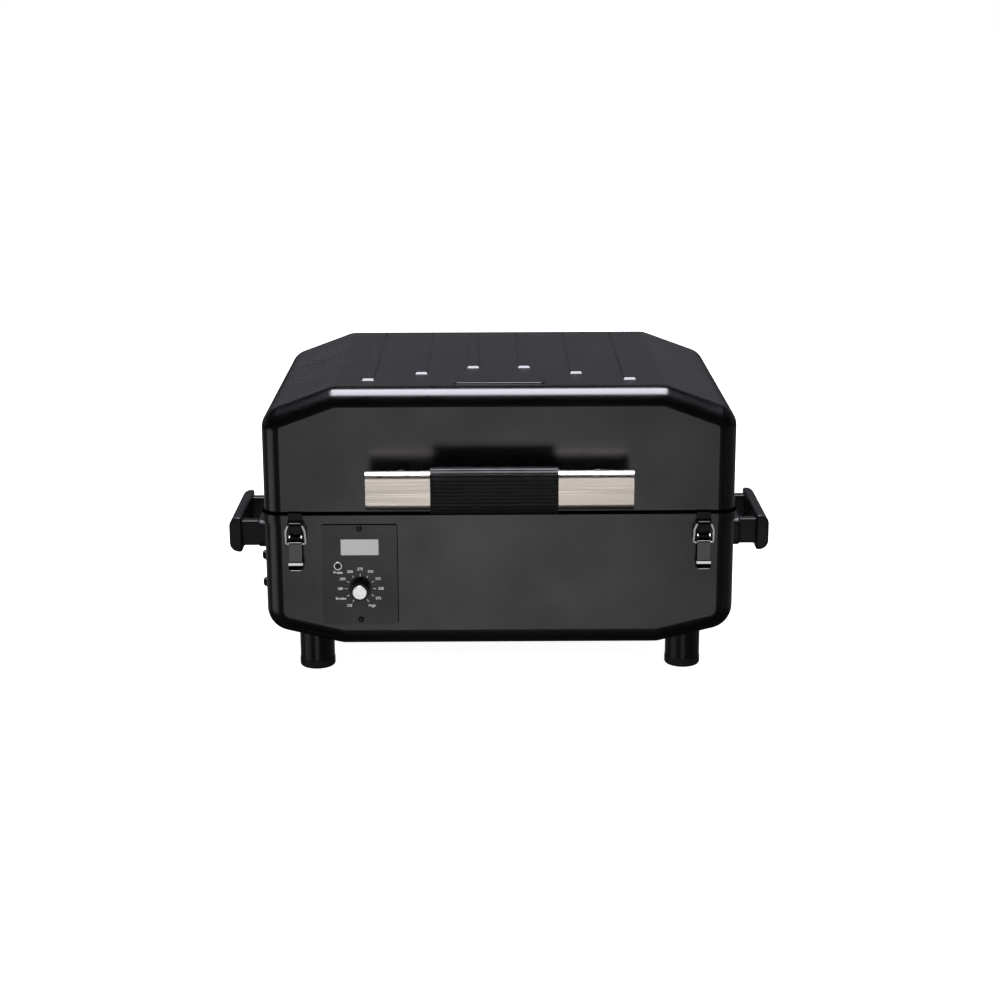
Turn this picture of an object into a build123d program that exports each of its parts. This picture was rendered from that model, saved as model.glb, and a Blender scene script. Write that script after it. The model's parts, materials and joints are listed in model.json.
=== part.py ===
from build123d import *
import math
import os

# Portable tabletop pellet smoker grill, modelled as an assembly of separate pieces.
# Millimetres. +X is the user's right, +Y runs from the front to the back, +Z is up. The origin is on
# the floor, below the centre of the overall box. Every piece is written to parts/NODE.step.

# ---- driving dimensions ------------------------------------------------------------------------
WIDTH = 520.0            # casing, side to side
DEPTH = 380.0            # casing, front to back
FRONT_REACH = 61.0       # how far the lid handle stands out in front of the casing
REAR_REACH = 19.0        # how far the exhaust hood stands out behind it
SHEET = 1.6              # steel sheet of the casing
RIM_ROUND = 20.0         # rounding of the casing's front and back edges

FRONT = -(FRONT_REACH + DEPTH + REAR_REACH) / 2 + FRONT_REACH
BACK = FRONT + DEPTH
MID = (FRONT + BACK) / 2
HALF = WIDTH / 2
INSIDE = HALF - SHEET    # inner face of a side wall

TUB_FLOOR = 35.0         # underside of the tub
TUB_FLOOR_HALF = 176.0   # half width of its flat floor
TUB_SIDE_LOW = 55.5      # height where the sloping floor would meet the side
TUB_CORNER = 28.0
TUB_TOP = 188.0
BAND_LOW = 178.5         # the hemmed band round the tub's mouth
BAND_PROUD = 2.5

LID_LOW = 191.5
LID_SIDE_TOP = 299.5     # height where the sloping shoulder would meet the side
LID_TOP = 328.0
LID_TOP_HALF = 182.5     # half width of the flat top
LID_CORNER = 24.0
SKIRT_LOW = 182.0        # the lid's inner skirt reaches down inside the tub
SKIRT_GAP = 0.8
SKIRT_SHEET = 1.5

FLOOR_SLOPE = math.degrees(math.atan2(TUB_SIDE_LOW - TUB_FLOOR, HALF - TUB_FLOOR_HALF))

LEG_X = 207.8
LEG_INSET = 44.5         # leg centre behind the front face, and before the back face
LEG_RADIUS = 19.5
FOOT_RADIUS = 20.0
FOOT_HEIGHT = 10.0

PANEL_X = -154.3         # control panel and dial centre line
PANEL_SIZE = (84.0, 115.0)
PANEL_Z = 120.2
PANEL_SHEET = 1.5
DIAL_Z = 103.7
DISPLAY = (42.0, 18.5)
DISPLAY_Z = 151.2
JACK_X, JACK_Z = -178.7, 130.0
PANEL_SCREW_Z = (172.6, 68.0)

HANDLE_Z = 228.0
HANDLE_Y = FRONT - 50.0
HANDLE_LENGTH = 286.4
HANDLE_OVAL = (43.0, 14.0)
GRIP_OVAL = (51.0, 22.0)
GRIP_X = (-74.0, 62.6)
POST_X = 108.0

LATCH_X = 224.0
LATCH_PIVOT = (FRONT - 6.5, 163.0)   # lever pin, as (y, z)
LEVER_TOP = 160.0
LEVER_BEND = 137.0                   # where the finger lip starts
EAR = 3.2                            # radius of the base's ears round the pin
BAIL_PIVOT = (FRONT - 5.0, 156.4)    # where the wire loop hangs in the lever
BAIL_TOP = (FRONT - 11.6, 181.0)

HINGE_X = 150.0
HINGE_Y = BACK + 10.0
HINGE_Z = 189.75
KNUCKLE = 5.5
PIN = 2.5
RUNNING = 0.05           # radial clearance of a pin in its hole

SIDE_HANDLE_Y = (FRONT + 127.0, FRONT + 261.0)
SIDE_HANDLE_REACH = 55.3             # how far it stands out from the casing's side
SIDE_HANDLE_BASE = 22.0
SIDE_GRIP = (15.0, 109.0, 151.0)     # thickness, lowest and highest level

DIVIDER_TOP = 181.6
DIVIDER_X = -110.0       # wall between the hopper side and the cooking chamber
AUGER_Y, AUGER_Z = MID, 88.0
FIREPOT_X = 75.0

FAN_X, FAN_Y = -156.0, FRONT + 105.0
GRATE_X = (-84.0, 247.0)
GRATE_Z = 170.0
GRATE_INSET = 10.0       # from the casing's front and back faces
TRAY_Z = 144.0
TRAY_INSET = 18.0
CAP_NUT_Y = (FRONT + 48.0, BACK - 48.0)
CAP_NUT_Z = (129.2, 97.5)

INLET_X, INLET_Z = -190.0, 100.0


# ---- helpers -----------------------------------------------------------------------------------
def slab(x0, x1, y0, y1, z0, z1):
    """A box between two corners."""
    return Pos((x0 + x1) / 2, (y0 + y1) / 2, (z0 + z1) / 2) * Box(abs(x1 - x0), abs(y1 - y0), abs(z1 - z0))


def rod_x(x0, x1, y, z, radius):
    return Pos((x0 + x1) / 2, y, z) * Rot(0, 90, 0) * Cylinder(radius, abs(x1 - x0))


def rod_y(y0, y1, x, z, radius):
    return Pos(x, (y0 + y1) / 2, z) * Rot(90, 0, 0) * Cylinder(radius, abs(y1 - y0))


def rod_z(z0, z1, x, y, radius):
    return Pos(x, y, (z0 + z1) / 2) * Cylinder(radius, abs(z1 - z0))


def run_y(section, y0, y1):
    """A section drawn as (x, z), run from y0 to y1."""
    return extrude(Plane.XZ.offset(-y0) * section, amount=y1 - y0, dir=(0, 1, 0))


def run_x(section, x0, x1):
    """A section drawn as (y, z), run from x0 to x1."""
    return extrude(Plane.YZ.offset(x0) * section, amount=x1 - x0, dir=(1, 0, 0))


def mirrored(solid):
    return mirror(solid, about=Plane.YZ)


def rounded_outline(points, radius, is_rounded):
    face = Polygon(*points, align=None)
    return fillet([v for v in face.vertices() if is_rounded(v)], radius)


def casing(outline, open_level, grow=0.0):
    """The filled casing: an outline grown by an amount and run front to back, with its rims rounded."""
    face = offset(outline, amount=grow) if grow else outline
    solid = run_y(face, FRONT - grow, BACK + grow)
    ends = solid.faces().sort_by(Axis.Y)
    rims = [
        e
        for end in (ends[0], ends[-1])
        for e in end.edges()
        if abs(e.center().Z - open_level) > abs(grow) + 1
    ]
    return fillet(rims, RIM_ROUND + grow)


CUT_LOW, CUT_HIGH = 150.0, 240.0     # the outlines run past the seam to these levels and are trimmed back


def lid_casing(grow=0.0):
    points = [
        (-HALF, CUT_LOW), (HALF, CUT_LOW), (HALF, LID_SIDE_TOP),
        (LID_TOP_HALF, LID_TOP), (-LID_TOP_HALF, LID_TOP), (-HALF, LID_SIDE_TOP),
    ]
    return casing(rounded_outline(points, LID_CORNER, lambda v: v.Y > LID_LOW), CUT_LOW, grow)


def tub_casing(grow=0.0):
    points = [
        (-HALF, CUT_HIGH), (-HALF, TUB_SIDE_LOW), (-TUB_FLOOR_HALF, TUB_FLOOR),
        (TUB_FLOOR_HALF, TUB_FLOOR), (HALF, TUB_SIDE_LOW), (HALF, CUT_HIGH),
    ]
    return casing(rounded_outline(points, TUB_CORNER, lambda v: v.Y < TUB_TOP), CUT_HIGH, grow)


def layer(z0, z1):
    """Everything between two heights."""
    return slab(-WIDTH, WIDTH, -DEPTH, DEPTH, z0, z1)


def oval(length, width):
    """An upright oval with flat sides and round ends."""
    return Rot(0, 0, 90) * SlotOverall(length, width)


def screw_y(x, y, z, radius, head_radius, head, length):
    """A round-head screw whose shank runs to +Y from the face at y."""
    dome = fillet(rod_y(y - head, y, x, z, head_radius).edges().sort_by(Axis.Y)[0], head * 0.6)
    return dome + rod_y(y, y + length, x, z, radius)


def leg_places():
    for end, y in (("front", FRONT + LEG_INSET), ("rear", BACK - LEG_INSET)):
        for side, x in (("left", -LEG_X), ("right", LEG_X)):
            yield f"leg_{end}_{side}", x, y


def floor_height(x):
    """Height of the tub's underside at x, on its sloping part."""
    return TUB_FLOOR + (abs(x) - TUB_FLOOR_HALF) * math.tan(math.radians(FLOOR_SLOPE))


def leg_bolt_frame(x, y):
    """On the tub's underside above a leg, square to the slope."""
    return Pos(x, y, floor_height(x)) * Rot(0, -math.copysign(FLOOR_SLOPE, x), 0)


# ---- casing ------------------------------------------------------------------------------------
def fan_slots():
    slot = SlotOverall(44, 5)
    return [
        Pos(FAN_X, FAN_Y + 11 * row, TUB_FLOOR) * extrude(slot, amount=10, both=True)
        for row in (-1.5, -0.5, 0.5, 1.5)
    ]


def side_screw_places():
    y0, y1 = SIDE_HANDLE_Y
    return [(y, z) for y in (y0 + 14, y1 - 14) for z in (121.0, 140.0)]


def tub_shell():
    """The lower casing: a folded tub with a hemmed band and its cut-outs."""
    filled = tub_casing() + (tub_casing(BAND_PROUD) & layer(BAND_LOW, TUB_TOP))
    shell = filled - tub_casing(-SHEET)
    shell = shell & layer(0, TUB_TOP)
    shell -= slab(PANEL_X - 38, PANEL_X + 38, FRONT - 5, FRONT + 5, 72, 168)
    shell -= slab(INLET_X - 12.5, INLET_X + 12.5, BACK - 5, BACK + 5, INLET_Z - 22.5, INLET_Z + 22.5)
    for slot in fan_slots():
        shell -= slot
    for _, x, y in leg_places():
        shell -= leg_bolt_frame(x, y) * Cylinder(3.1, 12)
    for y in CAP_NUT_Y:
        for z in CAP_NUT_Z:
            shell -= rod_x(-HALF - 5, -HALF + 5, y, z, 3.1)
    for y, z in side_screw_places():
        shell -= rod_x(-HALF - 5, -HALF + 5, y, z, 2.6) + rod_x(HALF - 5, HALF + 5, y, z, 2.6)
    for z in PANEL_SCREW_Z:
        shell -= rod_y(FRONT - 5, FRONT + 5, PANEL_X, z, 1.9)
    return shell


RIB_PITCH = 57.8
RIB_STARTS = (118.8, 83.8, 47.8)     # behind the front face, from the middle pair outwards
RIB_END = 26.8                       # before the back face
RIB_HALF = 7.0                       # half of a rib's width at its foot
RIB_SIDE = 1.5                       # how far a rib's sides lean in
RIB_HEIGHT = 2.0
RIB_RAMP = 35.0                      # degrees: slope of a rib's ends
RIB_ROOT = 0.6                       # how deep a rib is rooted in the sheet


def lid_ribs():
    """Six pressed ribs: shallow flat-topped beads with ramped ends and sides."""
    ribs = []
    foot, top = LID_TOP - RIB_ROOT, LID_TOP + RIB_HEIGHT
    ramp = (top - foot) / math.tan(math.radians(RIB_RAMP))
    for i, start in enumerate(RIB_STARTS):
        for side in (-1, 1):
            x = side * RIB_PITCH * (i + 0.5)
            y0, y1 = FRONT + start, BACK - RIB_END
            left, right = x - RIB_HALF, x + RIB_HALF
            lengthways = Polygon((y0, foot), (y1, foot), (y1 - ramp, top), (y0 + ramp, top), align=None)
            roof = (right - RIB_SIDE, top), (left + RIB_SIDE, top)
            crossways = Polygon((left, foot), (right, foot), *roof, align=None)
            ribs.append(run_x(lengthways, left - 1, right + 1) & run_y(crossways, y0 - 1, y1 + 1))
    return ribs


EXHAUST_Z = (232.0, 246.0)           # two rows of exhaust slots in the lid's back
EXHAUST_PITCH = 40.0


def lid_shell():
    """The lid: a folded shell with sloping shoulders, an inner skirt, six ribs and a raised badge bar."""
    shell = (lid_casing() - lid_casing(-SHEET)) & layer(LID_LOW, LID_TOP + 10)
    skirt_outer = -SHEET - SKIRT_GAP
    skirt_inner = skirt_outer - SKIRT_SHEET
    inner = lid_casing(skirt_inner)
    shell += (lid_casing(skirt_outer) - inner) & layer(SKIRT_LOW, LID_LOW + 8)
    shell += (lid_casing(-SHEET + 0.4) - inner) & layer(LID_LOW, LID_LOW + 8)
    for rib in lid_ribs():
        shell += rib
    badge = extrude(Pos(0, FRONT + 34) * SlotOverall(100, 9), amount=1.4)
    shell += Pos(0, 0, LID_TOP - 0.2) * fillet(badge.edges().group_by(Axis.Z)[-1], 1.0)
    for z in EXHAUST_Z:
        for i in range(-2, 3):
            slot = Pos(i * EXHAUST_PITCH, z) * SlotOverall(30, 6)
            shell -= run_y(slot, BACK - 5, BACK + 5)
    for x in (-POST_X, POST_X):
        shell -= rod_y(FRONT - 5, FRONT + 5, x, HANDLE_Z, 3.1)
    return shell


def exhaust_cover():
    """Hood over the exhaust slots, open below."""
    z0, z1 = EXHAUST_Z[0] - 10, EXHAUST_Z[1] + 14
    outer = slab(-112, 112, BACK, BACK + REAR_REACH, z0, z1)
    top_edge = outer.edges().filter_by(Axis.X).group_by(Axis.Y)[-1].sort_by(Axis.Z)[-1]
    outer = fillet(top_edge, 9)
    inner = slab(-110.8, 110.8, BACK - 1, BACK + REAR_REACH - 1.2, z0 - 1, z1 - 1.2)
    inner_edge = inner.edges().filter_by(Axis.X).group_by(Axis.Y)[-1].sort_by(Axis.Z)[-1]
    return outer - fillet(inner_edge, 7.8)


# ---- legs --------------------------------------------------------------------------------------
def leg(x, y):
    post = rod_z(FOOT_HEIGHT, TUB_SIDE_LOW + 5, x, y, LEG_RADIUS)
    post -= rod_z(FOOT_HEIGHT, 31, x, y, LEG_RADIUS - 3)
    post -= leg_bolt_frame(x, y) * (Pos(0, 0, 50) * Box(120, 120, 100))
    return post - leg_bolt_frame(x, y) * Cylinder(3.1, 40)


def foot_cap(x, y):
    cap = rod_z(0, FOOT_HEIGHT, x, y, FOOT_RADIUS)
    cap = fillet(cap.edges().group_by(Axis.Z)[0], 3)
    return cap + rod_z(FOOT_HEIGHT, FOOT_HEIGHT + 10, x, y, LEG_RADIUS - 3.2)


def leg_bolt(x, y):
    above = SHEET + 0.05
    bolt = Pos(0, 0, above + 2) * Cylinder(6, 4) + Pos(0, 0, above - 6) * Cylinder(3, 14)
    return leg_bolt_frame(x, y) * bolt


# ---- control panel -----------------------------------------------------------------------------
def control_panel():
    plate = Pos(PANEL_X, PANEL_Z) * RectangleRounded(*PANEL_SIZE, 3)
    plate -= Pos(PANEL_X, DISPLAY_Z) * Rectangle(*DISPLAY)
    plate -= Pos(PANEL_X, DIAL_Z) * Circle(4.2)
    plate -= Pos(JACK_X, JACK_Z) * Circle(4.1)
    for z in PANEL_SCREW_Z:
        plate -= Pos(PANEL_X, z) * Circle(1.9)
    return run_y(plate, FRONT - PANEL_SHEET, FRONT)


def display_window():
    """Clear window with a bezel lip behind the panel."""
    pane = Pos(PANEL_X, DISPLAY_Z) * Rectangle(DISPLAY[0] - 0.4, DISPLAY[1] - 0.4)
    lip = Pos(PANEL_X, DISPLAY_Z) * Rectangle(DISPLAY[0] + 6, DISPLAY[1] + 6)
    return run_y(pane, FRONT - PANEL_SHEET + 0.3, FRONT) + run_y(lip, FRONT, FRONT + 3)


def probe_jack():
    """Socket for a food probe: a raised ring round a recessed face with the plug's hole."""
    face = FRONT - PANEL_SHEET
    ring = fillet(rod_y(face - 1.2, face, JACK_X, JACK_Z, 4.8).edges().sort_by(Axis.Y)[0], 0.5)
    ring -= rod_y(face - 5, face - 0.3, JACK_X, JACK_Z, 3.7)
    body = rod_y(face, FRONT + 12, JACK_X, JACK_Z, 3.9)
    return ring + body - rod_y(FRONT - 10, FRONT + 9, JACK_X, JACK_Z, 1.8)


def dial_switch():
    """Rotary switch behind the panel, with its threaded bush through the panel."""
    block = slab(PANEL_X - 12, PANEL_X + 12, FRONT, FRONT + 15, DIAL_Z - 12, DIAL_Z + 12)
    bush = rod_y(FRONT - PANEL_SHEET, FRONT, PANEL_X, DIAL_Z, 4.0)
    return block + bush - rod_y(FRONT - 5, FRONT + 12, PANEL_X, DIAL_Z, 3 + RUNNING)


KNOB_BACK = FRONT - PANEL_SHEET - 0.6
KNOB_FACE = KNOB_BACK - 14.4
KNOB_POINTER = -150.0                # the knob points at off, in degrees clockwise from the top


def knob_body():
    """Fluted knob with a skirt, a pointer ridge and its stem."""
    skirt = rod_y(KNOB_BACK - 3.2, KNOB_BACK, PANEL_X, DIAL_Z, 12.0)
    barrel = rod_y(KNOB_FACE, KNOB_BACK - 3.2, PANEL_X, DIAL_Z, 10.0)
    flutes = 18
    for i in range(flutes):
        a = 2 * math.pi * i / flutes
        x, z = PANEL_X + 10.7 * math.cos(a), DIAL_Z + 10.7 * math.sin(a)
        barrel -= rod_y(KNOB_FACE - 1, KNOB_BACK - 4.2, x, z, 1.3)
    ridge_z = (DIAL_Z + 8.5, DIAL_Z + 11.9)
    ridge = slab(PANEL_X - 0.9, PANEL_X + 0.9, KNOB_BACK - 4.4, KNOB_BACK - 3.2, *ridge_z)
    ridge = ridge.rotate(Axis((PANEL_X, 0, DIAL_Z), (0, 1, 0)), KNOB_POINTER)
    stem = rod_y(KNOB_BACK, FRONT + 11, PANEL_X, DIAL_Z, 3.0)
    recess = rod_y(KNOB_FACE - 1, KNOB_FACE + 1, PANEL_X, DIAL_Z, 8.0)
    return skirt + barrel + ridge + stem - recess


def knob_cap():
    cap = rod_y(KNOB_FACE - 0.5, KNOB_FACE + 1, PANEL_X, DIAL_Z, 7.8)
    return fillet(cap.edges().group_by(Axis.Y)[0], 0.4)


def panel_screws():
    return [screw_y(PANEL_X, FRONT - PANEL_SHEET, z, 1.7, 3.2, 1.9, 9) for z in PANEL_SCREW_Z]


def control_board():
    board = slab(PANEL_X - 36, PANEL_X + 36, FRONT + 20, FRONT + 21.6, 76, 164)
    board += slab(PANEL_X - 20, PANEL_X + 20, FRONT + 12, FRONT + 20, DISPLAY_Z - 8, DISPLAY_Z + 8)
    for x in (-32, 32):
        for z in (80, 160):
            board += rod_y(FRONT, FRONT + 20, PANEL_X + x, z, 3)
    for x, z, size in ((-22, 86, 14), (4, 84, 10), (24, 88, 12), (26, 130, 9)):
        x0 = PANEL_X + x - size / 2
        board += slab(x0, x0 + size, FRONT + 21.6, FRONT + 33, z - 6, z + 6)
    return board


def controller_box():
    """Folded cover that shields the board from the hopper."""
    x0, x1, z0, z1 = PANEL_X - 41, PANEL_X + 41, 71, 169
    cover = slab(x0, x1, FRONT + SHEET, FRONT + 48, z0, z1)
    return cover - slab(x0 + 1, x1 - 1, FRONT, FRONT + 47, z0 + 1, z1 - 1)


# ---- lid handle --------------------------------------------------------------------------------
def handle_bar():
    """Brushed oval tube with closed ends."""
    length, thick = HANDLE_OVAL
    centre = Pos(HANDLE_Y, HANDLE_Z)
    outer = run_x(centre * oval(length, thick), -HANDLE_LENGTH / 2, HANDLE_LENGTH / 2)
    hollow = run_x(centre * oval(length - 3, thick - 3), -HANDLE_LENGTH / 2 + 2, HANDLE_LENGTH / 2 - 2)
    return outer - hollow


def around_oval(length, width, pitch):
    """Points evenly round an oval, each as (y, z) from its centre."""
    straight, radius = length - width, width / 2
    total = 2 * straight + 2 * math.pi * radius
    count = round(total / pitch)
    for i in range(count):
        s = (i + 0.5) * total / count
        side = 1
        if s >= total / 2:
            s -= total / 2
            side = -1
        if s < straight:
            yield side * radius, side * (s - straight / 2)
        else:
            a = (s - straight) / radius
            yield side * radius * math.cos(a), side * (straight / 2 + radius * math.sin(a))


def handle_grip():
    """Ribbed rubber sleeve on the bar."""
    centre = Pos(HANDLE_Y, HANDLE_Z)
    section = oval(*GRIP_OVAL) - oval(*HANDLE_OVAL)
    for y, z in around_oval(*GRIP_OVAL, 4.0):
        section -= Pos(y, z) * Circle(0.95)
    return run_x(centre * section, *GRIP_X)


def handle_post(x):
    post = rod_y(HANDLE_Y + HANDLE_OVAL[1] / 2, FRONT, x, HANDLE_Z, 7.5)
    flange = fillet(rod_y(FRONT - 3, FRONT, x, HANDLE_Z, 11).edges().sort_by(Axis.Y)[0], 1.5)
    return post + flange - rod_y(FRONT - 22, FRONT + 1, x, HANDLE_Z, 3.05)


def handle_screw(x):
    head = rod_y(FRONT + SHEET, FRONT + SHEET + 4, x, HANDLE_Z, 6)
    return head + rod_y(FRONT - 20, FRONT + SHEET, x, HANDLE_Z, 3.0)


# ---- toggle latches ----------------------------------------------------------------------------
def latch_base():
    """Riveted plate with two ears and the lever's pin."""
    y, z = LATCH_PIVOT
    base = slab(-8, 8, FRONT - 1.2, FRONT, 127, 169.5)
    for x0, x1 in ((-5.6, -4.4), (4.4, 5.6)):
        base += rod_x(x0, x1, y, z, EAR) + slab(x0, x1, y, FRONT - 1.0, z - EAR, z + EAR)
    base += rod_x(-7.2, 7.2, y, z, 1.5)
    for x0, x1 in ((-7.9, -7.2), (7.2, 7.9)):
        base += rod_x(x0, x1, y, z, 2.3)
    return Pos(LATCH_X, 0, 0) * base


def latch_lever():
    """Formed lever: two flanges on the pin, a plate rolled back at its top, and a curled finger lip."""
    y, z = LATCH_PIVOT
    by, bz = BAIL_PIVOT
    face = FRONT - 10.9
    low = LEVER_BEND
    flange = Polygon(
        (face + 0.5, LEVER_TOP - 2), (y - 3, z), (y + 3.8, z), (by + 2.3, bz - 2), (face + 2, low + 4),
        (face + 0.5, low), align=None,
    )
    lever = run_x(flange, 5.9, 7.0) + run_x(flange, -7.0, -5.9)
    lever += rod_x(5.9, 7.0, y, z, 3.8) + rod_x(-7.0, -5.9, y, z, 3.8)
    top = slab(-7.0, 7.0, face, face + 2.4, LEVER_TOP - 4, LEVER_TOP)
    lever += fillet(top.edges().filter_by(Axis.X).group_by(Axis.Z)[-1].sort_by(Axis.Y)[0], 2.2)
    lever += slab(-7.0, 7.0, face, face + 1.1, low, LEVER_TOP - 3)
    lip = Polygon(
        (face + 1.1, low + 0.6), (face, low + 0.6), (face - 2.0, low), (face - 4.3, low - 8.3),
        (face - 3.3, low - 8.7), (face - 1.2, low - 1.2), (face + 1.1, low - 0.6), align=None,
    )
    tab = run_x(lip, -7.8, 7.8)
    lever += fillet(tab.edges().filter_by(lambda e: e.length < 1.2).group_by(Axis.Z)[0], 3.0)
    lever -= rod_x(-9, 9, y, z, 1.5 + RUNNING)
    lever -= rod_x(-9, 9, by, bz, 1.0 + RUNNING)
    return Pos(LATCH_X, 0, 0) * lever


def latch_bail():
    """Sprung wire loop from the lever up to the catch."""
    wire = 1.0
    foot, top = BAIL_PIVOT, BAIL_TOP

    def at(x, share):
        return (LATCH_X + x, foot[0] + share * (top[0] - foot[0]), foot[1] + share * (top[1] - foot[1]))

    half = [(6.05, 0.0), (10.75, 0.0), (10.5, 0.62), (7.0, 1.0)]
    points = [at(x, s) for x, s in half] + [at(-x, s) for x, s in reversed(half)]
    path = FilletPolyline(*points, radius=[1.9, 6.0, 2.2, 2.2, 6.0, 1.9])
    return sweep(Plane(origin=path @ 0, z_dir=path % 0) * Circle(wire), path=path)


def lid_catch():
    """Strip welded to the lid's skirt: out through the seam, down, and up again as a hook."""
    half = 7.75
    outer = FRONT - 5.5
    catch = slab(-half, half, outer, FRONT + SHEET + SKIRT_GAP, 188.8, 190.8)
    catch += slab(-half, half, outer, outer + 2, 171, 190.8)
    catch += slab(-6.4, 6.4, outer - 4, outer + 2, 171, 173)
    catch += slab(-6.4, 6.4, outer - 4, outer - 2.2, 171, 177.5)
    return Pos(LATCH_X, 0, 0) * catch


def latch_rivets():
    rivets = []
    for x in (-LATCH_X, LATCH_X):
        for z in (131.0, 141.0):
            head = fillet(rod_y(FRONT - 2.4, FRONT - 1.2, x, z, 2.6).edges().sort_by(Axis.Y)[0], 0.9)
            rivets.append(head)
    return rivets


# ---- side handles ------------------------------------------------------------------------------
def side_handle():
    """Moulded carrying handle: a base, two arms and an upright grip that bulges outwards."""
    y0, y1 = SIDE_HANDLE_Y
    thickness, low, high = SIDE_GRIP
    outer = HALF + SIDE_HANDLE_REACH
    inner = outer - thickness
    base = slab(HALF, HALF + SIDE_HANDLE_BASE, y0, y1, low + 5, high - 4)
    base = fillet(base.edges().filter_by(Axis.X), 8)
    base = fillet(base.faces().sort_by(Axis.X)[-1].edges(), 3)
    corners = [(inner, low), (outer, low), (outer, high), (inner, high)]
    section = rounded_outline(corners, 11.0, lambda v: v.X > inner + 1)
    section = fillet([v for v in section.vertices() if v.X < inner + 0.1], 3.0)
    grip = run_y(section, y0, y1)
    grip = fillet(grip.faces().sort_by(Axis.Y)[0].edges() + grip.faces().sort_by(Axis.Y)[-1].edges(), 2.5)
    handle = base + grip
    for y in (y0 + 6, y1 - 19):
        arm = slab(HALF + 10, inner + 4, y, y + 13, low + 6.5, high - 5.5)
        handle += fillet(arm.edges().filter_by(Axis.X), 2)
    for y, z in side_screw_places():
        handle -= rod_x(HALF - 1, HALF + 12, y, z, 2.5)
    return handle


def side_handle_screw(y, z):
    head = rod_x(INSIDE - 3, INSIDE, y, z, 4.5)
    return head + rod_x(INSIDE, HALF + 10, y, z, 2.45)


# ---- lid hinges --------------------------------------------------------------------------------
def knuckle(x0, x1):
    return rod_x(x0, x1, HINGE_Y, HINGE_Z, KNUCKLE)


def hinge_leaf_body():
    """Leaf on the tub: it passes under the band and up to the two outer knuckles."""
    leaf = slab(-22, 22, BACK, BACK + 2, 146, 177) + slab(-22, 22, BACK, HINGE_Y + 1.5, 175, 177)
    for x0, x1 in ((-22, -10.2), (10.2, 22)):
        leaf += slab(x0, x1, HINGE_Y - 1.5, HINGE_Y + 1.5, 175, HINGE_Z) + knuckle(x0, x1)
    leaf -= rod_x(-30, 30, HINGE_Y, HINGE_Z, PIN + RUNNING)
    for x in (-12, 12):
        leaf -= rod_y(BACK - 1, BACK + 3, x, 157, 2.6)
    return leaf


def hinge_leaf_lid():
    """Leaf on the lid, down to the middle knuckle."""
    leaf = slab(-22, 22, BACK, BACK + 2, 197, 222) + slab(-9.8, 9.8, BACK, HINGE_Y + 1.5, 197, 199)
    leaf += slab(-9.8, 9.8, HINGE_Y - 1.5, HINGE_Y + 1.5, HINGE_Z, 199) + knuckle(-9.8, 9.8)
    leaf -= rod_x(-30, 30, HINGE_Y, HINGE_Z, PIN + RUNNING)
    for x in (-14, 14):
        leaf -= rod_y(BACK - 1, BACK + 3, x, 212, 2.6)
    return leaf


def hinge_pin():
    return rod_x(-23, 23, HINGE_Y, HINGE_Z, PIN) + rod_x(-24.5, -23, HINGE_Y, HINGE_Z, 4) + rod_x(
        23, 24.5, HINGE_Y, HINGE_Z, 4
    )


def hinge_screw(x, z):
    """Round head behind the leaf; the shank fills the leaf's hole and stops at the casing."""
    head = fillet(rod_y(BACK + 2, BACK + 4.4, x, z, 4.6).edges().sort_by(Axis.Y)[-1], 1.4)
    return head + rod_y(BACK, BACK + 2, x, z, 2.5)


# ---- hopper side -------------------------------------------------------------------------------
HOPPER_X = (-250.0, -114.0)
HOPPER_Y = (FRONT + 75, FRONT + 300)
HOPPER_TOP = 183.0
HOPPER_BEND = 160.0
THROAT_X = (-200.0, -152.0)
THROAT_Z = 113.0
THROAT_HALF = 14.0
HOPPER_HINGE = (HOPPER_X[1] - 0.2, HOPPER_TOP + 3.2)     # the flap's hinge line, as (x, z)


def rectangle_at(x0, x1, y0, y1, z):
    return Pos((x0 + x1) / 2, (y0 + y1) / 2, z) * Rectangle(x1 - x0, y1 - y0)


def hopper_solid(grow):
    x0, x1 = HOPPER_X[0] - grow, HOPPER_X[1] + grow
    y0, y1 = HOPPER_Y[0] - grow, HOPPER_Y[1] + grow
    upper = slab(x0, x1, y0, y1, HOPPER_BEND, HOPPER_TOP)
    throat = rectangle_at(
        THROAT_X[0] - grow, THROAT_X[1] + grow, MID - THROAT_HALF - grow, MID + THROAT_HALF + grow, THROAT_Z
    )
    return upper + loft([throat, rectangle_at(x0, x1, y0, y1, HOPPER_BEND)], ruled=True)


def hopper_bin():
    """Folded pellet bin: a funnel floor, a throat over the auger and a flange on the casing's left wall."""
    sheet = 1.2
    x0, x1 = THROAT_X
    y0, y1 = MID - THROAT_HALF, MID + THROAT_HALF
    bin_ = hopper_solid(0) + slab(x0, x1, y0, y1, AUGER_Z + 20.5, THROAT_Z + 4)
    bin_ -= hopper_solid(-sheet)
    bin_ -= slab(x0 + sheet, x1 - sheet, y0 + sheet, y1 - sheet, 100, THROAT_Z + 8)
    x0, x1 = HOPPER_X
    y0, y1 = HOPPER_Y
    bin_ -= slab(x0 + sheet, x1 - sheet, y0 + sheet, y1 - sheet, HOPPER_TOP - 2, HOPPER_TOP + 5)
    flange = slab(-INSIDE, -INSIDE + 1.6, FRONT + 30, BACK - 30, 84, 172)
    flange += slab(-INSIDE, HOPPER_X[0] + 0.6, HOPPER_Y[0], HOPPER_Y[1], 170, 172)
    for y in CAP_NUT_Y:
        for z in CAP_NUT_Z:
            flange -= rod_x(-HALF, -HALF + 6, y, z, 3.1)
    for y, z in side_screw_places():
        flange -= rod_x(-HALF, -HALF + 6, y, z, 5.5)
    return bin_ + flange


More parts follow.
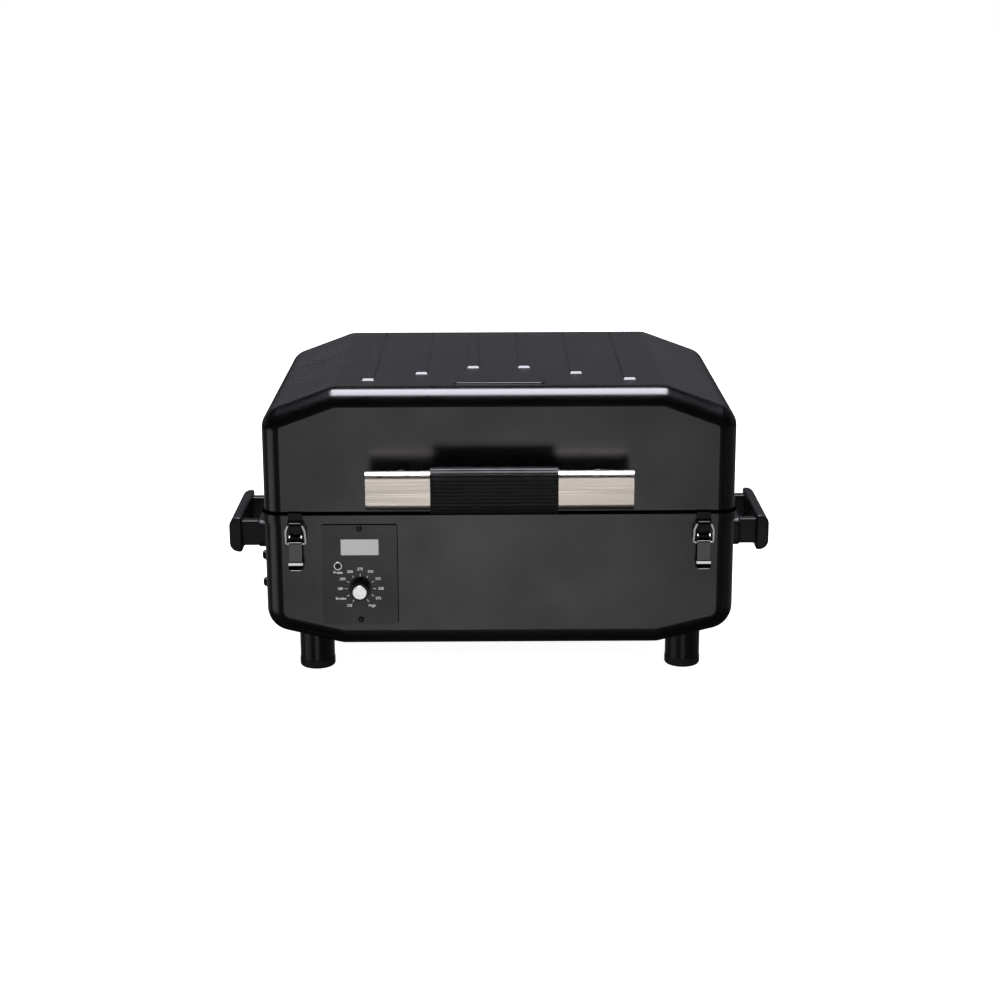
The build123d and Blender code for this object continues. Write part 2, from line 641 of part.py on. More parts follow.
def hopper_lid():
    """Flat flap with a folded pull at its free edge and two hinge eyes."""
    x0, x1 = HOPPER_X[0] + 2, HOPPER_X[1] - 3
    y0, y1 = HOPPER_Y[0] + 2, HOPPER_Y[1] - 2
    flap = slab(x0, x1, y0, y1, HOPPER_TOP + 0.4, HOPPER_TOP + 1.8)
    flap += slab(x0 + 6, x0 + 7.4, MID - 30, MID + 30, HOPPER_TOP + 1.4, HOPPER_TOP + 15)
    for y in (y0 + 20, y1 - 60):
        flap += rod_y(y, y + 40, *HOPPER_HINGE, 2.6) - rod_y(y - 1, y + 41, *HOPPER_HINGE, 1.5 + RUNNING)
        flap += slab(x1 - 2, HOPPER_HINGE[0] - 1.9, y, y + 40, HOPPER_TOP + 0.4, HOPPER_TOP + 1.8)
    return flap


def hopper_hinge():
    """Two rods in posts on the bin's inner edge, for the flap's eyes."""
    y0, y1 = HOPPER_Y[0] + 2, HOPPER_Y[1] - 2
    hinge = None
    for y in (y0 + 20, y1 - 60):
        rod = rod_y(y - 5, y + 45, *HOPPER_HINGE, 1.5)
        for end in (y - 5, y + 42):
            x0, x1 = HOPPER_X[1] - 1.2, HOPPER_X[1] + 1.2
            rod += slab(x0, x1, end, end + 3, HOPPER_TOP, HOPPER_HINGE[1] + 1.5)
        hinge = rod if hinge is None else hinge + rod
    return hinge


def cap_nut(y, z):
    """Washer, hexagon and dome on a stud through the left wall."""
    face = -HALF
    washer = rod_x(face - 1.2, face, y, z, 7.2)
    hexagon = run_x(Pos(y, z) * RegularPolygon(5.6, 6, major_radius=False), face - 3.6, face - 1.2)
    dome = rod_x(face - 7.2, face - 3.6, y, z, 5.3)
    dome = fillet(dome.edges().sort_by(Axis.X)[0], 3.3)
    return washer + hexagon + dome + rod_x(face, face + 8, y, z, 3.0)


RAIL_X = (-80.0, 236.0)
RAIL_SHEET = 2.0


def divider_and_rails():
    """The wall between hopper and chamber, with the four rails that carry the tray and the grate."""
    wall = slab(DIVIDER_X, DIVIDER_X + SHEET, FRONT, BACK, TUB_FLOOR, DIVIDER_TOP)
    wall &= tub_casing(-SHEET - 0.15)
    wall -= rod_x(DIVIDER_X - 5, DIVIDER_X + 5, AUGER_Y, AUGER_Z, 20.3)
    duct_y = (FAN_Y - FAN_RADIUS - 0.3, FAN_Y - 13.7)
    wall -= slab(DIVIDER_X - 5, DIVIDER_X + 5, *duct_y, FAN_Z[0] + 0.7, FAN_Z[1] - 0.7)
    wall -= rod_x(DIVIDER_X - 5, DIVIDER_X + 5, BACK - 50, 164, 3.3)
    pieces = [wall]
    for inset, top in ((GRATE_INSET, GRATE_Z), (TRAY_INSET, TRAY_Z)):
        for face, inward in ((FRONT, 1), (BACK, -1)):
            root, edge = face + inward * SHEET, face + inward * (inset + 5)
            pieces.append(slab(*RAIL_X, root, edge, top - RAIL_SHEET, top))
    return group(pieces)


AUGER_TUBE = (-212.0, 27.0)
AUGER_SHAFT = 4.0
AUGER_FLIGHT = 16.5
AUGER_PITCH = 34.0


def auger_tube():
    x0, x1 = AUGER_TUBE
    tube = rod_x(x0, x1, AUGER_Y, AUGER_Z, 20) - rod_x(x0 + 3, x1 + 1, AUGER_Y, AUGER_Z, 18)
    tube -= rod_x(x0 - 1, x0 + 5, AUGER_Y, AUGER_Z, AUGER_SHAFT + RUNNING)
    mouth_x = (THROAT_X[0] + 1, THROAT_X[1] - 1)
    mouth_y = (MID - THROAT_HALF + 1.5, MID + THROAT_HALF - 1.5)
    return tube - slab(*mouth_x, *mouth_y, AUGER_Z, AUGER_Z + 30)


def auger_screw():
    """Shaft with a helical flight."""
    x0, x1 = AUGER_TUBE[0] + 8, AUGER_TUBE[1] - 6
    helix = Helix(pitch=AUGER_PITCH, height=x1 - x0, radius=(AUGER_SHAFT + AUGER_FLIGHT) / 2)
    width = AUGER_FLIGHT - AUGER_SHAFT + 1.0
    blade = Plane(origin=helix @ 0, x_dir=(1, 0, 0), z_dir=helix % 0) * Rectangle(width, 2.4)
    flight = sweep(blade, path=helix, is_frenet=True)
    screw = Pos(x0, AUGER_Y, AUGER_Z) * Rot(0, 90, 0) * flight
    return screw + rod_x(-226, x1 + 1, AUGER_Y, AUGER_Z, AUGER_SHAFT)


def auger_motor():
    """Gear motor on the auger's left end."""
    box = slab(-246, -220, AUGER_Y - 28, AUGER_Y + 28, AUGER_Z - 24, AUGER_Z + 16)
    box = fillet(box.edges().filter_by(Axis.X), 4)
    box += slab(-244, -222, AUGER_Y - 50, AUGER_Y - 28, AUGER_Z - 20, AUGER_Z + 2)
    return box - rod_x(-227, -215, AUGER_Y, AUGER_Z, AUGER_SHAFT + RUNNING)


FAN_Z = (44.0, 76.0)
FAN_RADIUS = 40.0


def fan_housing():
    """Blower scroll with an outlet to the chamber and its motor on top."""
    z0, z1 = FAN_Z
    outlet_y = (FAN_Y - FAN_RADIUS, FAN_Y - 14)
    housing = rod_z(z0, z1, FAN_X, FAN_Y, FAN_RADIUS)
    housing += slab(FAN_X, DIVIDER_X - 0.5, *outlet_y, z0 + 1, z1 - 1)
    housing -= rod_z(z0 + 1.5, z1 - 1.5, FAN_X, FAN_Y, FAN_RADIUS - 1.5)
    housing -= slab(FAN_X, DIVIDER_X + 1, outlet_y[0] + 1.5, outlet_y[1] - 1.5, z0 + 2.5, z1 - 2.5)
    housing -= rod_z(z0 - 1, z0 + 2, FAN_X, FAN_Y, 22)
    housing += rod_z(z1, z1 + 18, FAN_X, FAN_Y, 18)
    for x in (-12, 22):
        for y in (-28, 28):
            housing += rod_z(TUB_FLOOR + SHEET, z0, FAN_X + x, FAN_Y + y, 3.5)
    return housing - rod_z(z1 - 3, z1 + 12, FAN_X, FAN_Y, 2 + RUNNING)


def fan_impeller():
    z0, z1 = FAN_Z[0] + 7, FAN_Z[1] - 4
    hub = rod_z(z0, z1, FAN_X, FAN_Y, 7) + rod_z(z1 - 5, z1 - 3, FAN_X, FAN_Y, 33)
    blades = 11
    for i in range(blades):
        spoke = Pos(FAN_X, FAN_Y, 0) * Rot(0, 0, 360 * i / blades)
        hub += spoke * Pos(27, 0, z1 - 12.5) * Rot(0, 0, 35) * Box(13, 1.2, 15.4)
    return hub + rod_z(z1, z1 + 13, FAN_X, FAN_Y, 2)


# ---- fire and cooking --------------------------------------------------------------------------
FIREPOT_RADIUS = 45.0
FIREPOT_TOP = 116.0
IGNITER_Z = 54.0


def firepot():
    """Burn pot: a cup on a base ring, open to the auger and drilled for air."""
    pot = rod_z(TUB_FLOOR + SHEET, FIREPOT_TOP, FIREPOT_X, MID, FIREPOT_RADIUS)
    pot -= rod_z(48, FIREPOT_TOP + 1, FIREPOT_X, MID, FIREPOT_RADIUS - 3)
    pot -= rod_x(FIREPOT_X - 60, FIREPOT_X - 30, AUGER_Y, AUGER_Z, 17)
    for i in range(1, 12):
        a = math.pi + 2 * math.pi * i / 12
        turned = Pos(FIREPOT_X, MID, 62) * Rot(0, 0, math.degrees(a))
        pot -= turned * Pos(43, 0, 0) * Rot(0, 90, 0) * Cylinder(3, 12)
    return pot - rod_y(MID - 60, MID - 30, FIREPOT_X, IGNITER_Z, 2.65)


def igniter_rod():
    """Hot rod through the pot's front wall, low in the fire."""
    return rod_y(MID - 78, MID - 28, FIREPOT_X, IGNITER_Z, 2.6)


def heat_deflector():
    """Plate over the fire on four folded legs."""
    x0, x1, y0, y1, top = -22.0, 170.0, FRONT + 62, BACK - 62, 132.0
    plate = slab(x0, x1, y0, y1, top - 2, top)
    for x in (x0, x1 - 24):
        for y in (y0, y1 - 2):
            plate += slab(x, x + 24, y, y + 2, TUB_FLOOR + SHEET, top)
    return plate


def drip_tray():
    """Shallow pan over the deflector; it lifts out."""
    x0, x1, y0, y1 = GRATE_X[0] + 2, GRATE_X[1] - 2, FRONT + TRAY_INSET, BACK - TRAY_INSET

    def pan(inset, z0, z1):
        face = RectangleRounded(x1 - x0 - 2 * inset, y1 - y0 - 2 * inset, 14 - inset)
        return Pos((x0 + x1) / 2, MID, z0) * extrude(face, amount=z1 - z0)

    return pan(0, TRAY_Z, TRAY_Z + 14) - pan(1.5, TRAY_Z + 1.5, TRAY_Z + 20)


def cooking_grate():
    """Cast grate: a frame, long slots and two cross bars."""
    x0, x1 = GRATE_X
    y0, y1 = FRONT + GRATE_INSET, BACK - GRATE_INSET
    face = Pos((x0 + x1) / 2, MID) * RectangleRounded(x1 - x0, y1 - y0, 16)
    count = 22
    pitch = (x1 - x0 - 16) / count
    bars = 3
    length = (y1 - y0 - 16 - (bars - 1) * 10) / bars
    for i in range(count):
        x = x0 + 8 + (i + 0.5) * pitch
        for j in range(bars):
            y = y0 + 8 + length / 2 + j * (length + 10)
            face -= Pos(x, y) * Rot(0, 0, 90) * SlotOverall(length, pitch - 5)
    return Pos(0, 0, GRATE_Z) * extrude(face, amount=7)


def temperature_probe():
    """Sensor that reaches from the hopper side just into the chamber."""
    y, z = BACK - 50, 164
    probe = rod_x(DIVIDER_X - 12, -88, y, z, 3.0) + rod_x(DIVIDER_X - 4, DIVIDER_X, y, z, 6.0)
    return probe


# ---- power inlet -------------------------------------------------------------------------------
ROCKER_Z = INLET_Z + 14.0
ROCKER_Y = BACK + 1.0
ROCKER_TILT = 8.0                    # the rocker rests tilted one way and tips as far the other


def power_inlet():
    """Mains inlet with a plug socket below a rocker switch."""
    body = slab(INLET_X - 12, INLET_X + 12, BACK - 20, BACK, INLET_Z - 22, INLET_Z + 22)
    bezel = slab(INLET_X - 16, INLET_X + 16, BACK, BACK + 3, INLET_Z - 26, INLET_Z + 26)
    bezel = fillet(bezel.edges().filter_by(Axis.Y), 3)
    inlet = body + bezel
    inlet -= slab(INLET_X - 10, INLET_X + 10, BACK - 14, BACK + 5, INLET_Z - 18, INLET_Z - 1)
    inlet -= slab(INLET_X - 8, INLET_X + 8, BACK - 10, BACK + 5, ROCKER_Z - 7.5, ROCKER_Z + 7.5)
    for x, z in ((-5, -7), (5, -7), (0, -12)):
        x, z = INLET_X + x, INLET_Z + z
        inlet += slab(x - 1, x + 1, BACK - 15, BACK - 4, z - 2, z + 2)
    return inlet + rod_x(INLET_X - 8.5, INLET_X + 8.5, ROCKER_Y - 4, ROCKER_Z, 1.2)


def power_rocker():
    """Rocker on a cross pin, with a shallow V face."""
    y = ROCKER_Y - 4
    face = Polygon(
        (y - 2.2, -1.6), (y + 2.4, -6.4), (y + 7.6, -6.4), (y + 5.2, 0), (y + 7.6, 6.4), (y + 2.4, 6.4),
        (y - 2.2, 1.6), align=None,
    )
    rocker = run_x(Pos(0, ROCKER_Z) * face, INLET_X - 7.2, INLET_X + 7.2)
    rocker -= rod_x(INLET_X - 9, INLET_X + 9, y, ROCKER_Z, 1.2 + RUNNING)
    return rocker.rotate(Axis((0, y, ROCKER_Z), (1, 0, 0)), -ROCKER_TILT)


# ---- the assembly ------------------------------------------------------------------------------
def group(solids):
    """Separate solids that share a node."""
    return Compound(children=[s for shape in solids for s in shape.solids()])


def pieces():
    parts = {
        "tub_shell": tub_shell(),
        "lid_shell": lid_shell(),
        "exhaust_cover": exhaust_cover(),
        "foot_caps": group([foot_cap(x, y) for _, x, y in leg_places()]),
        "leg_bolts": group([leg_bolt(x, y) for _, x, y in leg_places()]),
        "control_panel": control_panel(),
        "display_window": display_window(),
        "probe_jack": probe_jack(),
        "dial_switch": dial_switch(),
        "dial_knob": knob_body(),
        "dial_knob_cap": knob_cap(),
        "panel_screws": group(panel_screws()),
        "control_board": control_board(),
        "controller_box": controller_box(),
        "handle_bar": handle_bar(),
        "handle_grip": handle_grip(),
        "handle_post_left": handle_post(-POST_X),
        "handle_post_right": handle_post(POST_X),
        "handle_screws": group([handle_screw(x) for x in (-POST_X, POST_X)]),
        "latch_rivets": group(latch_rivets()),
        "hopper_bin": hopper_bin(),
        "hopper_hinge": hopper_hinge(),
        "hopper_lid": hopper_lid(),
        "hopper_cap_nuts": group([cap_nut(y, z) for y in CAP_NUT_Y for z in CAP_NUT_Z]),
        "divider_and_rails": divider_and_rails(),
        "auger_tube": auger_tube(),
        "auger_screw": auger_screw(),
        "auger_motor": auger_motor(),
        "fan_housing": fan_housing(),
        "fan_impeller": fan_impeller(),
        "firepot": firepot(),
        "igniter_rod": igniter_rod(),
        "heat_deflector": heat_deflector(),
        "drip_tray": drip_tray(),
        "cooking_grate": cooking_grate(),
        "temperature_probe": temperature_probe(),
        "power_inlet": power_inlet(),
        "power_rocker": power_rocker(),
        "hinge_pins": group([Pos(x, 0, 0) * hinge_pin() for x in (-HINGE_X, HINGE_X)]),
        "hinge_screws_tub": group([hinge_screw(s * HINGE_X + x, 157) for s in (-1, 1) for x in (-12, 12)]),
        "hinge_screws_lid": group([hinge_screw(s * HINGE_X + x, 212) for s in (-1, 1) for x in (-14, 14)]),
    }
    for name, x, y in leg_places():
        parts[name] = leg(x, y)
    on_the_right = {
        "latch_base": latch_base(),
        "latch_lever": latch_lever(),
        "latch_bail": latch_bail(),
        "lid_catch": lid_catch(),
        "side_handle": side_handle(),
        "hinge_leaf_tub": Pos(HINGE_X, 0, 0) * hinge_leaf_body(),
        "hinge_leaf_lid": Pos(HINGE_X, 0, 0) * hinge_leaf_lid(),
    }
    for name, solid in on_the_right.items():
        parts[name + "_right"] = solid
        parts[name + "_left"] = mirrored(solid)
    screws = [side_handle_screw(y, z) for y, z in side_screw_places()]
    parts["side_handle_screws"] = group(screws + [mirrored(s) for s in screws])
    return parts


def main():
    os.makedirs("parts", exist_ok=True)
    for name, shape in pieces().items():
        export_step(shape, os.path.join("parts", name + ".step"))


main()
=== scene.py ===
import json
import math

import bpy
from mathutils import Matrix, Vector


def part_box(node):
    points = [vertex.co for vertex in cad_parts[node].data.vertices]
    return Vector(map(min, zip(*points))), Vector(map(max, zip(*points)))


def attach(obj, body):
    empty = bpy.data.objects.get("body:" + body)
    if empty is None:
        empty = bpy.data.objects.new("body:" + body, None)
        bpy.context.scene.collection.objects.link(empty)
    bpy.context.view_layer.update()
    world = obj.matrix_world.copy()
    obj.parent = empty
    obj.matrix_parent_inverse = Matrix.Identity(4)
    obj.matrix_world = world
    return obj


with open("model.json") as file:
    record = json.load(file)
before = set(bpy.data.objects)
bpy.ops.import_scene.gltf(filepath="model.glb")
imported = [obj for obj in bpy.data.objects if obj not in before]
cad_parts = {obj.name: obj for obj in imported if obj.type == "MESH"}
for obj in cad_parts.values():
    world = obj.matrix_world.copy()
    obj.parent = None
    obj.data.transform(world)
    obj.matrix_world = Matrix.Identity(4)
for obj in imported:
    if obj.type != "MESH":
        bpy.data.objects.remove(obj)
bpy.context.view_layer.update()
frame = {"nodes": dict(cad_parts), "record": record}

NODES = frame["nodes"]
MM = 0.001
COLOUR_A, COLOUR_B, COLOUR_OUT = 6, 7, 2     # sockets of a Mix node that mixes colours


# ---- where things are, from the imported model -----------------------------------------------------
def low(node):
    return Vector(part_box(node)[0])


def high(node):
    return Vector(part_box(node)[1])


def middle(node):
    return (low(node) + high(node)) / 2


PANEL_FACE = low("control_panel").y          # the front face of the control panel
DIAL = middle("dial_knob_cap")
JACK = middle("probe_jack")
JACK_COLLAR = 3.7 * MM                       # radius inside which the jack is plastic
SEAM = high("tub_shell").z                   # where the lid's hem meets the tub


# ---- node-tree helpers ---------------------------------------------------------------------------
class Shader:
    """A material with one Principled shader and small helpers to feed its sockets."""

    def __init__(self, name):
        self.material = bpy.data.materials.new(name)
        self.material.use_nodes = True
        self.tree = self.material.node_tree
        self.bsdf = self.tree.nodes["Principled BSDF"]
        self.place = self.tree.nodes.new("ShaderNodeTexCoord").outputs["Object"]

    def link(self, output, target):
        self.tree.links.new(output, target)

    def set(self, **values):
        for name, value in values.items():
            socket = self.bsdf.inputs[name.replace("_", " ")]
            socket.default_value = (*value, 1.0) if isinstance(value, tuple) else value
        return self

    def stretched(self, scale):
        """Object coordinates, scaled differently along X, Y and Z."""
        mapping = self.tree.nodes.new("ShaderNodeMapping")
        mapping.inputs["Scale"].default_value = scale
        self.link(self.place, mapping.inputs["Vector"])
        return mapping.outputs["Vector"]

    def noise(self, scale, detail=2.0, rough=0.5, vector=None):
        """Noise with about `scale` features per metre."""
        node = self.tree.nodes.new("ShaderNodeTexNoise")
        node.inputs["Scale"].default_value = scale
        node.inputs["Detail"].default_value = detail
        node.inputs["Roughness"].default_value = rough
        self.link(vector or self.place, node.inputs["Vector"])
        return node.outputs["Fac"]

    def radius(self, centre):
        """Distance from an axis along Y through a point."""
        mapping = self.tree.nodes.new("ShaderNodeMapping")
        mapping.inputs["Location"].default_value = (-centre.x, 0.0, -centre.z)
        mapping.inputs["Scale"].default_value = (1.0, 0.0, 1.0)
        self.link(self.place, mapping.inputs["Vector"])
        length = self.tree.nodes.new("ShaderNodeVectorMath")
        length.operation = "LENGTH"
        self.link(mapping.outputs["Vector"], length.inputs[0])
        return length.outputs["Value"]

    def axis(self, index):
        """Place along X, Y or Z."""
        split = self.tree.nodes.new("ShaderNodeSeparateXYZ")
        self.link(self.place, split.inputs[0])
        return split.outputs[index]

    def math(self, operation, first, second):
        """Arithmetic on two outputs."""
        node = self.tree.nodes.new("ShaderNodeMath")
        node.operation = operation
        self.link(first, node.inputs[0])
        self.link(second, node.inputs[1])
        return node.outputs[0]

    def larger(self, first, second):
        """The larger of two shares, so that either one shows."""
        return self.math("MAXIMUM", first, second)

    def above(self, index, edge, blur=0.4 * MM):
        """1 past an edge along X, Y or Z, 0 before it."""
        return self.span(self.axis(index), 0.0, 1.0, edge - blur, edge)

    def below(self, index, edge, blur=0.4 * MM):
        """1 before an edge along X, Y or Z, 0 past it."""
        return self.span(self.axis(index), 1.0, 0.0, edge, edge + blur)

    def band(self, index, first, last):
        """1 between two edges along X, Y or Z."""
        return self.math("MINIMUM", self.above(index, first), self.below(index, last))

    def fade(self, share, first, second):
        """A colour output that fades to a plain colour by a share."""
        node = self.tree.nodes.new("ShaderNodeMix")
        node.data_type = "RGBA"
        self.link(share, node.inputs["Factor"])
        self.link(first, node.inputs[COLOUR_A])
        node.inputs[COLOUR_B].default_value = (*second, 1.0)
        return node.outputs[COLOUR_OUT]

    def span(self, value, out_low, out_high, in_low=0.3, in_high=0.7):
        """A value spread from one range to another."""
        node = self.tree.nodes.new("ShaderNodeMapRange")
        node.inputs["From Min"].default_value = in_low
        node.inputs["From Max"].default_value = in_high
        node.inputs["To Min"].default_value = out_low
        node.inputs["To Max"].default_value = out_high
        self.link(value, node.inputs["Value"])
        return node.outputs["Result"]

    def tint(self, value, colour_low, colour_high, in_low=0.3, in_high=0.7):
        """A colour mixed by a value."""
        node = self.tree.nodes.new("ShaderNodeMix")
        node.data_type = "RGBA"
        self.link(self.span(value, 0.0, 1.0, in_low, in_high), node.inputs["Factor"])
        node.inputs[COLOUR_A].default_value = (*colour_low, 1.0)
        node.inputs[COLOUR_B].default_value = (*colour_high, 1.0)
        return node.outputs[COLOUR_OUT]

    def colour(self, output):
        self.link(output, self.bsdf.inputs["Base Color"])

    def roughness(self, output):
        self.link(output, self.bsdf.inputs["Roughness"])

    def bump(self, *layers):
        """Height layers of (value, depth in metres), stacked."""
        normal = None
        for value, depth in layers:
            node = self.tree.nodes.new("ShaderNodeBump")
            node.inputs["Distance"].default_value = depth
            self.link(value, node.inputs["Height"])
            if normal:
                self.link(normal, node.inputs["Normal"])
            normal = node.outputs["Normal"]
        self.link(normal, self.bsdf.inputs["Normal"])


# ---- materials -----------------------------------------------------------------------------------
BLACK = (0.0011, 0.0011, 0.0013)
BLACK_GRAIN = (0.0016, 0.0016, 0.0018)
STEEL = (0.66, 0.65, 0.64)
HANDLE_METAL = (1.0, 0.91, 0.82)             # slightly warm
SHALLOW = 0.000003                           # metres: the depth of fine brushing and blotches
HEM_HEIGHT = 3.6 * MM                        # the lid's lower edge, which gets painted shade: no reflection there


def powder_coat(name, base=BLACK, gloss=(0.2, 0.25), grain=1300.0, depth=0.000006, sheen=0.5,
                hem=None):
    """Satin black powder coat: fine grain over a slow orange peel.

    A hem (low, high) along Z gets painted shade: its reflection is turned off.
    """
    s = Shader(name).set(Specular_IOR_Level=sheen)
    fine = s.noise(grain, 3.0, 0.6)
    peel = s.noise(260.0, 2.0)
    slow = s.noise(14.0, 3.0)
    lighter = tuple(c * 1.4 for c in base)
    s.colour(s.tint(fine, base, lighter))
    s.roughness(s.span(slow, *gloss))
    # painted shade along the hem by the seam: the reflection is turned off there
    if hem:
        s.link(s.span(s.band(2, *hem), sheen, 0.0, 0.0, 1.0), s.bsdf.inputs["Specular IOR Level"])
    s.bump((peel, depth * 2.5), (fine, depth))
    return s.material


def moulded_plastic(name, gloss=(0.34, 0.44), depth=0.000008):
    """Black plastic with a fine moulded grain."""
    s = Shader(name).set(Specular_IOR_Level=0.3)
    base = (0.0022, 0.0022, 0.0024)
    fine = s.noise(1800.0, 2.0, 0.7)
    slow = s.noise(30.0, 2.0)
    s.colour(s.tint(slow, base, tuple(c * 1.35 for c in base)))
    s.roughness(s.span(slow, *gloss))
    s.bump((fine, depth))
    return s.material


def brushed_metal(name, base, along=(6.0, 1800.0, 1800.0)):
    """Metal brushed along the axis with the smallest scale."""
    s = Shader(name).set(Metallic=1.0)
    streaks = s.noise(1.0, 4.0, 0.7, s.stretched(along))
    slow = s.noise(9.0, 2.0)
    darker = tuple(c * 0.82 for c in base)
    lighter = tuple(min(1.0, c * 1.08) for c in base)
    s.colour(s.tint(streaks, darker, lighter))
    s.roughness(s.span(streaks, 0.2, 0.34))
    s.bump((streaks, SHALLOW), (slow, SHALLOW))
    return s.material


def handle_metal(name, base):
    """Brushed bar with painted shade darkening its rolled top and bottom edges."""
    s = Shader(name).set(Metallic=1.0)
    streaks = s.noise(1.0, 4.0, 0.75, s.stretched((5.0, 900.0, 900.0)))
    bottom, top = low("handle_bar").z, high("handle_bar").z
    edge, blur = 1.4 * MM, 1.2 * MM
    # painted shade: bands along the top and bottom edges are darkened to 0.38 of the metal's colour
    upper = s.above(2, top - edge, blur)
    lower = s.below(2, bottom + edge, blur)
    face = s.tint(streaks, tuple(c * 0.76 for c in base), base)
    s.colour(s.fade(s.larger(upper, lower), face, tuple(c * 0.38 for c in base)))
    s.roughness(s.span(streaks, 0.24, 0.4))
    s.bump((streaks, SHALLOW))
    return s.material


# Bands of the lever that get a painted highlight:
LEVER_TOP_EDGE = 2.2 * MM                    # below the lever's top: its upper bend
LEVER_BEND = (6.0 * MM, 8.4 * MM)            # above the lever's lip: its lower bend
LEVER_LIP = 0.7 * MM


def latch_lever(name):
    """Dark plated lever with painted highlights where it bends and along its lip."""
    s = Shader(name)
    base = (0.075, 0.075, 0.075)
    streaks = s.noise(1.0, 3.0, 0.7, s.stretched((1400.0, 1400.0, 40.0)))
    bottom, top = low("latch_lever_left").z, high("latch_lever_left").z
    # painted highlights: pale, less metallic bands on the two bends and along the lip
    bend = s.band(2, bottom + LEVER_BEND[0], bottom + LEVER_BEND[1])
    painted_highlight = s.larger(s.above(2, top - LEVER_TOP_EDGE), bend)
    painted_highlight = s.larger(painted_highlight, s.below(2, bottom + LEVER_LIP))
    plating = s.tint(streaks, tuple(c * 0.75 for c in base), base)
    s.colour(s.fade(painted_highlight, plating, (0.8, 0.8, 0.8)))
    s.link(s.span(painted_highlight, 1.0, 0.4, 0.0, 1.0), s.bsdf.inputs["Metallic"])
    s.roughness(s.span(streaks, 0.14, 0.26))
    s.bump((streaks, SHALLOW))
    return s.material


CATCH_SHADE_HEIGHT = 3.0 * MM                         # how much of the bail's top, under the catch, gets painted shade


def latch_wire(name):
    """Zinc-plated wire with painted shade, black, on the top that the catch holds."""
    s = Shader(name)
    blotch = s.noise(700.0, 3.0)
    # painted shade: black and not metallic where the wire's top sits under the catch
    painted_catch_shade = s.above(2, high("latch_bail_left").z - CATCH_SHADE_HEIGHT)
    zinc = s.tint(blotch, (0.5, 0.5, 0.5), (0.62, 0.62, 0.62))
    s.colour(s.fade(painted_catch_shade, zinc, (0.004, 0.004, 0.004)))
    s.link(s.span(painted_catch_shade, 0.6, 0.0, 0.0, 1.0), s.bsdf.inputs["Metallic"])
    s.roughness(s.span(blotch, 0.2, 0.3))
    s.bump((blotch, SHALLOW))
    return s.material


PANEL_SHADOW_LINES = (0.9 * MM, 0.63 * MM)          # widths of the painted shadow bands: along the top, on the right


def panel_plate(name):
    """Powder-coated plate with painted shadow along its top and right edges."""
    s = Shader(name)
    fine = s.noise(1700.0, 3.0, 0.6)
    slow = s.noise(14.0, 3.0)
    corner = high("control_panel")
    top = s.above(2, corner.z - PANEL_SHADOW_LINES[0])
    right = s.above(0, corner.x - PANEL_SHADOW_LINES[1])
    painted_shadow_band = s.larger(top, right)
    s.colour(s.tint(fine, BLACK, BLACK_GRAIN))
    # painted shadow: the reflection is almost turned off along the top and right edges
    s.link(s.span(painted_shadow_band, 0.46, 0.02, 0.0, 1.0), s.bsdf.inputs["Specular IOR Level"])
    s.roughness(s.span(slow, 0.22, 0.28))
    s.bump((fine, 0.000006))
    return s.material


def plated_metal(name, base):
    """Plated or turned metal with faint blotches."""
    s = Shader(name).set(Metallic=1.0)
    blotch = s.noise(700.0, 3.0)
    s.colour(s.tint(blotch, tuple(c * 0.86 for c in base), base))
    s.roughness(s.span(s.noise(210.0, 2.0), 0.16, 0.3))
    s.bump((blotch, SHALLOW))
    return s.material


def turned_cap(name):
    """Spun aluminium: fine rings round the dial's axis, with sparkling facets."""
    s = Shader(name).set(Metallic=1.0)
    rings = s.tree.nodes.new("ShaderNodeTexNoise")
    rings.noise_dimensions = "1D"
    rings.inputs["Scale"].default_value = 4200.0
    s.link(s.radius(DIAL), rings.inputs["W"])
    facets = s.noise(1500.0, 2.0, 0.8)
    s.colour(s.tint(rings.outputs["Fac"], (0.84, 0.84, 0.83), (0.98, 0.98, 0.97)))
    s.roughness(s.span(rings.outputs["Fac"], 0.2, 0.32))
    s.bump((rings.outputs["Fac"], 0.000006), (facets, 0.00004))
    return s.material


def galvanised(name):
    """Zinc-coated sheet with a soft spangle."""
    s = Shader(name).set(Metallic=1.0)
    cells = s.tree.nodes.new("ShaderNodeTexVoronoi")
    cells.inputs["Scale"].default_value = 90.0
    s.link(s.place, cells.inputs["Vector"])
    s.colour(s.tint(cells.outputs["Distance"], (0.42, 0.43, 0.44), (0.58, 0.59, 0.6), 0.0, 0.8))
    s.roughness(s.span(cells.outputs["Distance"], 0.32, 0.48, 0.0, 0.8))
    s.bump((s.noise(400.0, 2.0), 0.00001))
    return s.material


def display_pane(name):
    """Pale grey window over an unlit display."""
    s = Shader(name).set(Specular_IOR_Level=0.4)
    haze = s.noise(2200.0, 1.0)
    s.colour(s.tint(haze, (0.32, 0.32, 0.32), (0.33, 0.33, 0.33)))
    s.roughness(s.span(haze, 0.2, 0.26))
    s.bump((haze, 0.0000005))
    return s.material


def jack_face(name):
    """A bright collar round a black plastic socket."""
    s = Shader(name)
    collar = s.span(s.radius(JACK), 0.0, 1.0, JACK_COLLAR - 0.1 * MM, JACK_COLLAR)
    s.colour(s.tint(collar, (0.003, 0.003, 0.003), (0.75, 0.75, 0.75), 0.0, 1.0))
    s.link(collar, s.bsdf.inputs["Metallic"])
    wear = s.noise(900.0, 2.0)
    s.roughness(s.span(wear, 0.18, 0.3))
    s.bump((wear, SHALLOW))
    return s.material


